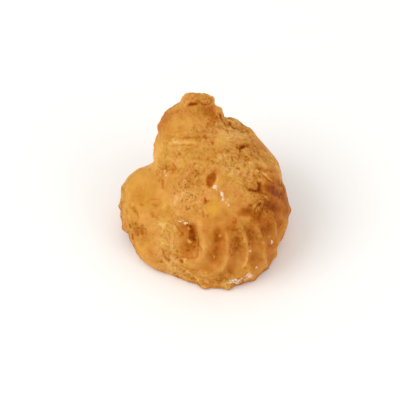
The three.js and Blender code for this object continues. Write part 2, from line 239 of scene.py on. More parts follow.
marks = (  # fine marks by place, browner and deeper where positive, paler and higher where negative; a few dark ones are painted shade and a few pale ones painted glints
    # peak
    # the slot and the line after it are painted shade under the peak's overhang
    (0.75, 0.68, -6.4, 53.7, -4.2, 53.6), (0.9, 0.24, -3.6, 53.9, -1.6, 53.8, 0.2, 53),
    (0.5, 0.42, 6.2, 49.4, 7, 47.3, 8.1, 46, 9.4, 44.2),
    (0.5, 0.56, 10.9, 45.6, 12, 44.9, 13.3, 44.1, 15, 43.9, 16.3, 42.4),
    (0.5, 0.32, 15, 43.9, 16.4, 43.4, 18.4, 42.2), (0.5, 0.3, 6, 43.5, 7.7, 43.3, 9.9, 42.4, 12.4, 42.2),
    (0.8, -0.3, 8.1, 47.8, 10.3, 46.7, 12.4, 46.3), (0.8, -0.25, 13.3, 46.7, 15.9, 45.2, 18.9, 43.7),
    # band
    # painted shade along the band
    (0.6, 0.2, -14.1, 39.4, -9, 38.9, -4.7, 39, 3.9, 39.3),
    (0.8, -0.26, -14.6, 37, -10.7, 37.2, -6.4, 37.3, -4.5, 37.5), (0.45, 0.1, -4, 38.4, -3.9, 37.5),
    (0.6, 0.2, -12.4, 35.9, -8.1, 36, -4.7, 36.2), (0.6, 0.15, -1.7, 41.4, 1.3, 41.5, 3.9, 41.3),
    (0.45, 0.15, -13.6, 40, -12.6, 40.2), (0.45, -0.16, -11.8, 41, -11.2, 40.9),
    (0.45, 0.15, -10.4, 40.2, -9.7, 40.5), (0.45, -0.12, -8.9, 41.2, -8.4, 41),
    (0.45, -0.2, -6.2, 41.6, -5.5, 41.6), (0.45, -0.24, -3, 42.3, -2.2, 42.5),
    (0.6, 0.45, 3.2, 36.6, 3.6, 37),
    # shoulder
    (0.85, 0.6, 14.4, 34.5, 15.2, 35.2, 16.3, 35.8, 17.7, 35.7),
    # the second mark here is a painted glint
    (0.6, 0.28, 14.7, 34.3, 14.4, 32.6, 14.5, 30.9), (0.5, -0.25, 13.3, 34.5, 14.1, 34.4),
    (0.5, -0.15, 15.9, 33.6, 17.4, 34.2), (0.6, 0.22, 19.3, 31.9, 21.9, 30.4),
    (0.8, 0.16, 16.9, 30.3, 18.3, 30), (0.6, -0.35, 18.6, 28.7, 20.1, 28.5),
    # the first mark here is painted shade under the shoulder's brow
    (0.9, 0.36, 22, 26.7, 24.5, 25.6, 27.4, 24.9), (0.55, 0.5, 13.7, 26, 14.3, 26),
    (0.55, 0.5, 22.3, 24.3, 22.9, 24.3), (0.5, 0.12, -4.7, 27.9, -4.1, 27.8),
    (0.5, 0.3, 16.8, 38.4, 17.3, 38.5), (0.5, 0.15, 9.3, 27.6, 10, 27.2), (0.6, 0.3, 3.7, 31.4, 4.2, 31),
    (0.5, 0.4, 11.1, 30.9, 11.5, 30), (0.5, 0.35, 20.1, 35.6, 20.5, 35.1), (0.9, -0.3, 6, 32, 6.4, 30.6),
    (0.6, -0.15, 8.1, 33.2, 8.4, 31.3),
    # long split
    (0.42, 0.2, 16.1, 21, 16.2, 19.5, 17.1, 18.2, 18.6, 17.1),
    (0.95, 0.95, 22.5, 19.6, 22.6, 18.4, 22.4, 17), (0.55, 0.55, 18.9, 17, 20.6, 16.6, 22.3, 16.3),
    (0.45, 0.27, 22.3, 16.3, 23.6, 15.9, 25.3, 15.3), (0.5, -0.2, 22.5, 21.4, 22.7, 20.7),
    (0.6, 0.12, 21.4, 21.2, 22.6, 20.6), (1, 0.5, 20.8, 22.7, 22.3, 22.5),
    (0.42, -0.5, 21.6, 25.1, 24.4, 23.8, 26.1, 22.1, 27.9, 20.4),
    (0.42, 0.4, 22.9, 24.6, 24.9, 22.9, 26.7, 21, 28.5, 19.7), (0.5, 0.35, 31.2, 21, 32, 18.9),
    (0.5, 0.5, 33, 19.7, 33.9, 17.6, 34.3, 16.3), (0.42, 0.3, 23.6, 14.3, 25.3, 12.9, 27, 11.1),
    (0.42, -0.25, 24.4, 15, 26.6, 12.9), (0.6, -0.18, 22.5, 12.9, 21.3, 11.1, 20.6, 9.2),
    (0.55, 0.28, 23.4, 11.8, 22.2, 10.5, 21.1, 9, 21, 7.5),
    # brown patch
    (0.55, 0.12, 15.6, 9, 17.6, 8.5, 20.1, 8.4), (0.6, 0.26, 21.9, 7.2, 23, 8.1, 24.3, 8.7),
    (0.55, 0.4, 18.1, 10.5, 19.3, 10.6), (0.5, -0.14, 15, 5.6, 17.6, 4.9, 19.7, 5.7),
    (0.42, 0.3, 11.8, 5.6, 12.9, 4.7, 13, 3.4, 11.8, 3.3), (0.9, 0.3, 28, 9.6, 29.1, 8),
    (0.6, -0.22, 25.3, 7.9, 27.4, 5.6, 30, 2.1),
    # middle
    (0.8, 0.38, -0.1, 13.7, 0, 11.5), (0.55, 0.38, -0.1, 13, 1.6, 12.7),
    (0.45, 0.42, -7.6, 10.3, -7.5, 9.1, -6.3, 9.1), (0.5, 0.36, -6.2, 14.7, -5.7, 14.8),
    (0.5, 0.6, -6.7, 18.3, -6.3, 18.3), (0.5, 0.45, -3.9, 25.2, -2.9, 24.2),
    (0.5, 0.38, -13.5, 28, -13, 26.6), (0.5, -0.6, -8.8, 21.4, -8.7, 20.6),
    (0.5, 0.3, -8.8, 19.9, -8.6, 19.5), (0.45, 0.2, -1.7, 9.2, -0.9, 7.3, -0.4, 5.6),
    (0.5, -0.16, -0.6, 9, 0.6, 7.3), (0.45, 0.18, 0.7, 6.9, 1, 6), (0.5, 0.14, -3.5, 10.7, -3.3, 7.7),
    (0.6, -0.1, 3.4, 19, 4.7, 21, 4.9, 23.1),
    # cheek
    (0.7, 0.5, -30.7, 9.9, -29.8, 7.9), (0.75, 0.4, -27.2, 10.9, -26.6, 10.5),
    (0.75, 0.3, -33.6, 8.6, -33.3, 7.5), (0.75, 0.42, -28.9, 6.9, -28.6, 5.6),
    (0.6, 0.55, -31.9, 2.4, -31.4, 1.2), (0.65, 0.38, -29.7, 3.4, -29.4, 2.6),
    (0.65, 0.42, -26.7, 2, -26.2, 2.4), (0.8, 0.28, -22.8, 7.3, -21.9, 6),
    (0.6, 0.28, -22.1, 10.9, -21, 10.3), (0.5, 0.28, -23, 13.3, -21.4, 13),
    (0.45, -0.3, -31.1, 11.6, -30.9, 10.5), (0.6, 0.26, -29.5, -0.7, -29.1, -2.3),
    (0.6, 0.3, -27.6, -0.3, -27.2, -1.9), (0.5, 0.26, -25.5, -0.3, -25.2, -1.5),
    (0.5, 0.25, -30, 0.6, -27.4, 0.7, -25.2, 0.3), (0.5, -0.18, -28.5, -2.6, -26.6, -2.4),
    (0.6, 0.56, -31.8, -2.4, -31.5, -3.6), (0.6, 0.45, -36.4, 18.3, -35.1, 17.4),
    (0.6, 0.4, -18.7, 21.2, -18.5, 18.3),
    # left shoulder
    (0.5, 0.4, -24, 26.3, -23.6, 25.3), (0.7, 0.4, -17.2, 27, -16.7, 25.7),
    (0.5, 0.26, -15.9, 26.3, -13.7, 26.2), (0.6, 0.16, -20.1, 21, -18.6, 22.9, -17.1, 24.7),
    (1.1, -0.35, -18.9, 2.7, -17.3, 2.3), (0.8, -0.25, -17, 11.3, -17.5, 9.4),
    (0.6, -0.28, -13.1, 12.3, -12.9, 11), (0.6, -0.3, -13.2, 1.7, -12.7, -0.3),
    # low left
    (0.75, 0.4, -17.8, -8.4, -17.3, -9.7), (0.7, 0.42, -16.6, -11, -15.9, -12, -15.2, -12.7),
    (0.6, -0.18, -14.7, -10.5, -13.5, -12.4, -11.6, -13.7), (0.7, 0.27, -18.9, -13.5, -18.6, -14.1),
    (0.6, -0.22, -18.9, -11.4, -17.1, -13.5, -14.6, -15.4), (0.75, 0.45, -10.9, -13.4, -9.8, -14),
    (0.55, -0.4, -9.2, -13.9, -8.8, -12.8), (0.6, 0.36, -13.1, -18.2, -12.6, -18.3),
    (0.55, 0.36, -12.1, -19.2, -11.3, -19.8), (0.7, -0.45, -7.3, -17.6, -6, -18.3, -4.7, -19.5, -2.6, -21),
    (0.7, 0.2, -8.1, -18.9, -6.4, -19.7, -4.3, -21.3), (0.6, -0.25, -2.1, -17.3, 0.4, -18),
    (0.6, -0.35, 0.3, -21.3, 1.3, -22.1),
    # pit
    (0.55, 0.4, -10.7, -1.5, -10.5, -2.4), (0.65, 0.34, -8.4, -9, -7.9, -9.2),
    (0.5, 0.5, -12.6, -8.8, -12.3, -9.4), (0.5, 0.36, -8, 1.8, -6.4, 1.5), (0.5, -0.55, -7.7, 1.1, -7, 0.3),
    # the first mark here is a painted glint in the pit
    (0.5, -0.62, -7.6, -4.7, -7, -5.6), (0.5, 0.25, -3.2, -3.4, -2.9, -6.9, -3.2, -10.3),
    (0.6, 0.22, -13.7, -10.3, -10.7, -11.8, -6.4, -12, -3.4, -11.1),
    # troughs
    (2.7, 0.14, 4.8, 0.6, 5, -3.6, 4.8, -8, 3.8, -12),
    (2.6, 0.12, 12.3, 0.8, 12.8, -4, 12.7, -9, 11.2, -13.4),
    (2.9, 0.18, 18.4, 1, 20.3, -4, 20.8, -9, 20.2, -14), (2.7, 0.08, 25, 2, 27, -3, 27.4, -9),
    (0.6, 0.16, 3, -0.7, 4, 0.1), (0.6, 0.17, 5.1, 0.3, 5.7, -0.2), (0.6, 0.18, 4.1, -1.7, 4.9, -2.7),
    # the first marks on this line and the next are painted glints in the first trough
    (0.5, -0.58, 5.6, -2.9, 6.3, -2.1), (0.55, 0.24, 4.7, -8.1, 5.1, -8.4),
    (0.5, -0.5, 3.6, -11.4, 3.9, -11.8), (0.7, 0.2, 11.7, 0.2, 13.9, 0.4),
    (0.4, -0.4, 12.4, 0.6, 13.1, 0.9), (0.6, 0.5, 18, -5.7, 18.8, -5.9),
    # the first marks on this line and the next are painted highlights along two ridges
    (0.5, -0.34, 17.4, -11.1, 17.1, -13.3, 16, -15.6), (0.6, 0.14, 27.6, -6.9, 28.3, -7.3),
    (0.5, -0.12, 27.3, -2.6, 27.9, -4.6, 28.8, -6.4), (0.8, 0.3, 5.1, -21.9, 6, -22.3),
    (0.5, 0.7, 12.8, -21.4, 13, -22.5), (0.5, 0.7, 15.9, -20.8, 16.5, -21.9),
    (0.45, 0.45, 14.6, -22.2, 15.3, -22.8), (0.55, 0.4, 16.4, -15.6, 17, -16.2),
    (0.5, 0.16, 10.5, -18, 10.9, -18.8), (0.45, 0.35, 13.2, -20.6, 14.4, -20.2),
)

lineShape = {
    "ends": (0.15, 0.4),  # shares of its height with which a line begins and ends
    "full": (0.3, 0.8),  # shares of its length between which it is full
    "deep": 1.6,  # mm at which it counts as wholly cut in
}

# Ovals on the face are rows of middle x and y, half width, half length (mm), depth or strength, turn in
# degrees and steepness; the last two are 0 and 1 where they aren't given
hollows = (
    (-5.5, -2, 1.6, 3.8, 1.8, -4, 2), (-7, -4, 4.2, 7.2, 1.5, -5, 2.4), (-10.6, -4, 3.4, 6.6, 0.5, -8, 1.2),
    (2.4, 21.4, 2, 3.5, 0.9, -22, 2.4), (-7, 19.8, 3, 2.4, 0.6, 0, 1.5),
    (-2.6, 19.4, 2.4, 1.6, 0.5, 20, 1.5), (15.9, 35.6, 2.6, 1.7, 0.7, 20, 1.5),
    (-28.3, -0.8, 2.8, 1.7, 0.5, 0, 1.8), (1.8, 51, 3, 2.6, 0.9, 0, 1.5),
    (-5.3, 53.6, 1.6, 0.7, 0.8, 0, 1.5), (-15, 26.6, 3.4, 1.8, 1, -15, 1.5),
    (17.6, 8.2, 2.6, 1.7, 0.7, 5, 1.5), (28, 10, 3.2, 2.4, 0.4, -20, 1.5), (-20, 18, 5.5, 5.5, 0.9, 0, 1.2),
)

crags = (  # where the crust's edge falls back, or swells where negative, right round the edge
    # top
    (-15, 54, 2.6, 2, 0.8, 30), (0.4, 59, 2.2, 1.3, 1), (-7.6, 58, 2.8, 1.4, -0.6), (3.6, 56, 1.2, 1.6, -1),
    (7, 53.6, 1.4, 1.2, 0.8), (6.6, 52, 1.5, 1.3, -0.8), (-18, 51.4, 2.5, 2.5, 0.7),
    (9, 49.6, 1.2, 1.2, 0.6),
    # upper left
    (-24.6, 27.8, 4, 2, 0.9, 20), (-28.2, 27.4, 1.6, 1.2, -0.5, 20), (-21, 42, 1.2, 1, 0.7),
    (-22.6, 39.6, 1.4, 1.2, -0.4), (-20.4, 44.8, 0.8, 0.8, -0.5), (-22.2, 36.6, 0.9, 0.7, -0.5),
    # left
    (-36.6, 13.6, 2.6, 3.4, 1.3), (-36.4, 18.6, 1.1, 1.1, -0.6), (-37.4, 10.4, 1.2, 1, -0.5),
    (-35.4, 1, 1.4, 1.4, -0.7), (-33.6, -2.2, 1.4, 1.2, 0.6), (-37, 7.6, 1.4, 2.6, 0.5),
    (-30.9, -8.6, 3, 5, 0.9, 40), (-37, 3.4, 2, 7, 0.6),
    # upper right
    (22.8, 38.4, 4, 3, 0.9), (30.4, 28.5, 3, 5, -0.7, 30),
    # right
    (34.6, 21, 2.6, 5, 1.2, 20), (32.4, -8.8, 2, 2.4, 1.6), (15.5, -23.6, 5, 1.8, 0.8, 20),
)

hollowShape = {
    "fall": 0.9,  # how soon a hollow ends outside its width
    "deep": 1.8,  # mm at which it counts as wholly cut in
}

roughPlaces = (  # where the crust is crumbly, and smoother where negative
    (-4, 56, 7, 4, -0.6), (29, 30, 5, 7, -0.4), (2, 50, 4, 4, -0.35), (-9, 37.4, 6, 1.7, -0.4),
    (-7.6, -4, 5.5, 8, -0.5), (2.4, 21.4, 3, 4, -0.4), (18, -7, 12, 8, -0.2),
    (28.6, 16.6, 5, 3.6, -0.5, -20), (-15, -2, 4.6, 5.4, -0.24), (-1, -18, 9, 4, -0.3),
    (-15, 43, 5, 4, -0.3), (-29, 17, 6, 7, -0.4, 10), (-12, 9, 5, 5, -0.35), (12, 18, 4, 4, -0.35),
    (13.6, 24, 4, 4, -0.35), (0, -2, 4, 9, -0.4), (31, 10, 6, 9, -0.5), (12, 45, 9, 5, 0.6, -30),
    (15, 35, 7, 5, 0.4), (9, 28, 6, 5, 0.35), (21, 21, 6, 6, 0.25), (20, 9, 6, 4, 0.5), (6, 15, 4, 5, 0.3),
    (-19, 25, 5, 4, 0.5), (-33, 5, 6, 8, 0.5), (-28, 0, 5, 4, 0.4), (-17, -11, 8, 6, 0.04, 30),
    (14, -18, 11, 3, 0.25, 15), (16, -17, 5, 2.4, 0.4, 20), (12, 2, 8, 3, 0.4), (-7, 41, 6, 2.5, 0.4),
)

rosette = {  # the nozzle's flutes carried round the back, about an axis through the face
    "middle": (4.6, -1, 16),
    "axis": (0.139, -0.606, 0.783),
    "count": 15,
    "phase": -7.0,  # degrees
    "twist": 0.5,  # degrees round for each degree down the side
    "straight": 36.0,  # degrees from the axis where the twist begins
    "rise": (35.0, 60.0),  # degrees from the axis over which they rise
    "half": 3.2,
    "height": 1.3,
    "sunk": 0.45,  # share of the height that lies below the plain dough
}

swelling = {  # rounded lumps
    "lumps": ((5.0, 0.45, 1.3), (2.4, 0.22, 4.1)),  # size and height (mm), and where the waves start
    "cell": ((1.1, 1.3, 1.2), (1, 2, 3), (0, 0.4, 0)),  # speed along x, y and z, share of the start, shift
    "waves": (((2.3, -1.1, 0.9), 5), ((-0.7, 2.1, 1.7), 7)),  # the same of two slanting waves
    "waveHeight": 0.24,
}

texture = {  # the baked skin's own roughness (mm)
    "grain": (0.7, 3.2, 3, 0.0),  # height, size, octaves, place in the noise
    "wrinkle": (0.5, 1.6, 2, 3.1),
    "crumb": (0.24, 0.95, 2, 9.4),
    "crumbFlatness": (1, 1, 1.6),
    "roughness": (0.38, 0.05, 1),  # usual, least and most
    "roughDrift": (1.5, 11.0, 2, 5.5),
    "smoothShare": (0.25, 0.3),  # of the grain, and of the pores, where the crust is smooth
    "wobble": (1.6, 0.45),  # how the fine marks waver: size, reach
    "markWidth": 0.8,  # of the half widths given
    "markReach": 3,  # half widths
    "markDarkening": 0.86,  # what a mark of strength 1 adds to the browning and the painted shade
    "markDepth": (0.36, 0.14),  # how deep a brown one is cut, and how high a pale one stands
    "pores": 420,
    "poreRadius": (0.35, 0.8),
    "poreDepth": 0.5,
    "poreSteepness": 1.3,
    "seed": 5,
    "front": (-0.35, 0),  # how much the skin has to face the view to be in front, and on the face
    "face": (0, 0.3),
}


def turned(across, up, turn):
    # the two turned clockwise by some degrees
    c, s = math.cos(math.radians(turn)), math.sin(math.radians(turn))
    return across * c + up * s, up * c - across * s


def lines(rows, steps=8):
    # each row's half width, height and curve
    for half, tall, *line in rows:
        yield half, tall, smoothLine(np.reshape(line, (-1, 2)).astype(float), steps)


def ovals(x, y, rows):
    # each row's strength, and how far out every point is: r^(2 steep), with r in half widths along its axes
    for atX, atY, wide, long, strength, *more in rows:
        turn, steep = (*more, *(0, 1)[len(more):])
        across, along = turned(x - atX, y - atY, turn)
        yield strength, ((across / wide)**2 + (along / long)**2)**steep


def facePlace(p):
    # where points fall on the face as seen from the view: across, and up
    return p[..., 0], p[..., 1] * eye[2] - p[..., 2] * eye[1]


def wavering(p):
    # the place on the face, moved aside by noise
    x, y = facePlace(p)
    size, reach = texture["wobble"]
    return tuple(at + (valueNoise(p, size, shift) - 0.5) * 2 * reach for at, shift in ((x, 2.2), (y, 6.6)))


def spots(p, rows):
    # the sum of the ovals, each exp(-r^(2 steep)) times its strength
    return sum(strength * np.exp(-out) for strength, out in ovals(*wavering(p), rows))


def lineRelief(x, y, rows):
    # each line is a bell across its line that swells in at the start and fades at the end; with how
    # deep the cuts are and how near the tops of the ridges
    height, cut, crest = np.zeros((3, *x.shape))
    start, end = lineShape["ends"]
    full, fading = lineShape["full"]
    for half, tall, line in lines(rows):
        away, share = nearLine(x, y, line)
        swell = start + (1 - start) * ease(0, full, share)
        bell = np.exp(-(away / half)**2) * swell * (1 - (1 - end) * ease(fading, 1, share))
        height += tall * bell
        cut = np.maximum(cut, bell * max(-tall, 0) / lineShape["deep"])
        crest = np.maximum(crest, bell**2 * min(max(tall, 0), 1))
    return height, cut, crest


def hollowRelief(x, y, rows):
    # each hollow is exp(-fall r^(2 steep)) times its depth; with how deep cut it is
    height, cut = np.zeros((2, *x.shape))
    for depth, out in ovals(x, y, rows):
        bowl = np.exp(-hollowShape["fall"] * out)
        height -= depth * bowl
        cut = np.maximum(cut, bowl * min(depth / hollowShape["deep"], 1))
    return height, cut


def fluteRelief(p):
    # bells round the rosette's axis, a count to the turn, twisting as they go down the side
    axis = unit(np.array(rosette["axis"], float))
    level = unit(np.array([1.0, 0, 0]) - axis * axis[0])
    arm = p - np.array(rosette["middle"], float)
    reach = np.linalg.norm(arm, axis=-1)
    away = np.degrees(np.arccos(np.clip(arm @ axis / reach, -1, 1)))
    around = np.degrees(np.arctan2(arm @ np.cross(level, axis), arm @ level))
    spacing = 360 / rosette["count"]
    twisted = rosette["twist"] * np.maximum(away - rosette["straight"], 0)
    place = (around - rosette["phase"] - twisted) / spacing
    off = (place - np.round(place)) * math.radians(spacing) * np.sin(np.radians(away)) * reach
    bell = np.exp(-(off / rosette["half"])**2)
    rise = ease(*rosette["rise"], away)
    return rosette["height"] * rise * (bell - rosette["sunk"]), rise * (1 - bell), rise * bell**3


def lumpRelief(p):
    # for each size, the product of a sine along every axis, and a share of two slanting sines
    speed, share, shift = map(np.array, swelling["cell"])
    total = np.zeros(p.shape[:-1])
    for size, height, start in swelling["lumps"]:
        q = p / size
        cells = np.sin(q * speed + share * start + shift).prod(-1)
        waves = sum(np.sin(q @ np.array(slant) + start * times) for slant, times in swelling["waves"])
        total += height * (cells + swelling["waveHeight"] * waves)
    return total


def fineMarks(x, y):
    # the sum over the marks of a bell across each line, times its strength
    total = np.zeros(x.shape)
    for width, strength, line in lines(marks, 4):
        half = width * texture["markWidth"]
        reach = texture["markReach"] * half
        (left, low), (right, high) = line.min(0) - reach, line.max(0) + reach
        near = (x > left) & (x < right) & (y > low) & (y < high)
        away, _ = nearLine(x[near], y[near], line)
        total[near] += strength * np.exp(-(away / half)**2)
    return total


def poreRelief(p):
    # small round pores at seeded places on the skin, each a bell in its distance
    rng = np.random.default_rng(texture["seed"])
    flat = p.reshape(-1, 3)
    places = flat[rng.integers(0, len(flat), texture["pores"])]
    sizes = rng.uniform(*texture["poreRadius"], texture["pores"])
    depth = np.zeros(len(flat))
    for place, radius in zip(places, sizes):
        away2 = ((flat - place)**2).sum(-1)
        depth = np.maximum(depth, np.exp(-(away2 / radius**2)**texture["poreSteepness"]) * radius)
    return depth.reshape(p.shape[:-1])


def crustRelief(p, normal):
    # everything that stands out from or cuts into the plain dough, how deep cut it is, and the pores
    x, y = facePlace(p)
    facing = normal @ eye
    front, face = (ease(*texture[name], facing) for name in ("front", "face"))
    piped, trough, crest = lineRelief(x, y, piping)
    waver = wavering(p)
    torn, split, bank = lineRelief(*waver, tears)
    marked = fineMarks(*waver) * face
    fluted, between, top = fluteRelief(p)
    dented, bowl = hollowRelief(x, y, hollows)
    craggy, _ = hollowRelief(x, y, crags)
    usual, least, most = texture["roughness"]
    grainShare, poreShare = texture["smoothShare"]
    rough = usual + spots(p, roughPlaces) * front + roughNoise(p, *texture["roughDrift"])
    rough = np.clip(rough, least, most)
    pores = poreRelief(p) * (poreShare + rough)
    height = (piped + craggy) * front + (torn + dented) * face + fluted * (1 - front) + lumpRelief(p)
    wrinkle = texture["wrinkle"][0] / 2 - 2 * np.abs(roughNoise(p, *texture["wrinkle"]))
    height += (roughNoise(p, *texture["grain"]) + wrinkle) * (grainShare + rough)
    height += roughNoise(p * texture["crumbFlatness"], *texture["crumb"]) * rough
    sunk, raised = texture["markDepth"]
    height -= texture["poreDepth"] * pores + sunk * np.maximum(marked, 0) + raised * np.minimum(marked, 0)
    looks = {
        "cut": np.clip(np.maximum(split, bowl) * face, 0, 1),
        "trough": np.clip(trough * front + between * (1 - front), 0, 1),
        "crest": np.clip(crest * front + bank / 2 * face + top * (1 - front), 0, 1),
        "pores": np.clip(pores, 0, 1),
        "rough": rough,
        "marked": marked * texture["markDarkening"],
    }
    return height, looks


def gridMesh(name, points, faces, smooth=True, looks={}):
    # a mesh from arrays of points (mm) and of triangles or quads, with looks as numbers at its points
    mesh = bpy.data.meshes.new(name)
    mesh.from_pydata((points * mm).tolist(), [], faces.tolist())
    mesh.polygons.foreach_set("use_smooth", np.full(len(mesh.polygons), smooth))
    mesh.update()
    for look, values in looks.items():
        mesh.attributes.new(look, "FLOAT", "POINT").data.foreach_set("value", values.astype(np.float32))
    return addObject(name, mesh)


def addObject(name, data):
    # an object that holds the data, in the scene
    thing = bpy.data.objects.new(name, data)
    bpy.context.collection.objects.link(thing)
    return thing


def crustPoints():
    # the skin on a grid, moved along its outward direction by the relief; the foot's relief is level
    even = circle(dough["columns"])
    turns = even - dough["crowding"] * np.sin(even - math.radians(dough["crowdedSide"]))
    plain = skin(turns, evenClimbs(dough["rows"] + 1))
    plain[-1] = plain[-1].mean(0)
    normal = outward(plain)
    height, looks = crustRelief(plain, normal)
    normal[..., 2] *= ease(0, dough["footHeight"], plain[..., 2])
    points = plain + unit(normal) * height[..., None]
    points[0, :, 2] = 0
    points[1:, :, 2] = np.maximum(points[1:, :, 2], dough["lift"])
    return points, looks


def tubeFaces(rows, columns, facing=1):
    # the triangles between neighbouring rows of a ring grid, two to a quad, the other way round at -1
    row, column = np.meshgrid(np.arange(rows - 1), np.arange(columns), indexing="ij")
    following = (column + 1) % columns
    corners = (row * columns + column, row * columns + following,
               (row + 1) * columns + following, (row + 1) * columns + column)
    quads = np.stack([corner.ravel() for corner in corners], -1)[:, ::facing]
    return np.vstack([quads[:, [0, 1, 2]], quads[:, [0, 2, 3]]])


def fanFaces(first, columns, hub):
    # the triangles from a ring, whose points start at first, to the hub
    column = np.arange(columns)
    return np.stack([first + column, first + (column + 1) % columns, np.full(columns, hub)], -1)


def makeCrust():
    # the grid, closed by a fan round the middle of the underside and one round the tip
    points, looks = crustPoints()
    rows, columns = dough["rows"], dough["columns"]
    allPoints = np.vstack([np.zeros((1, 3)), points[:rows].reshape(-1, 3), points[rows, :1]])
    last = len(allPoints) - 1
    under = fanFaces(1, columns, 0)[:, [2, 1, 0]]
    cap = fanFaces(last - columns, columns, last)
    faces = np.vstack([under, 1 + tubeFaces(rows, columns), cap])
    for name, grid in looks.items():
        looks[name] = np.concatenate([[0], grid[:rows].ravel(), grid[rows, :1]])
    shown = {"browned": browningAndShade(allPoints, looks)}
    shown |= {name: looks[name] for name in ("pores", "cut", "rough")}
    shown |= {name: np.clip(spots(allPoints, places), 0, 1) for name, places in tints.items()}
    return gridMesh("crust", allPoints, faces, looks=shown), allPoints


bakeAndShade = {  # how brown, from 0 to 1, and what adds to it, with painted shade and a painted highlight among it
    "base": 0.386,
    # cut and trough add painted shade in the splits, hollows and troughs along with their browning; crest
    # lightens the ridge tops as a painted highlight
    "cut": 0.12,
    "trough": 0.1,
    "crest": -0.1,
    "mottle": (0.36, 9.0, 3, 1.7),  # strength, size (mm), octaves, place in the noise
    "hotAndShadedSide": (0.1, 5, 38),  # strength, and the mm towards +X over which it comes in; browning with painted shade on the side away from the key lamp
    "underneath": (0.3, 4, 0),  # and down
    "behind": 0.16,
    "front": (-20, 5, 0.6),  # mm towards the view over which the front comes in, and share of the height
}

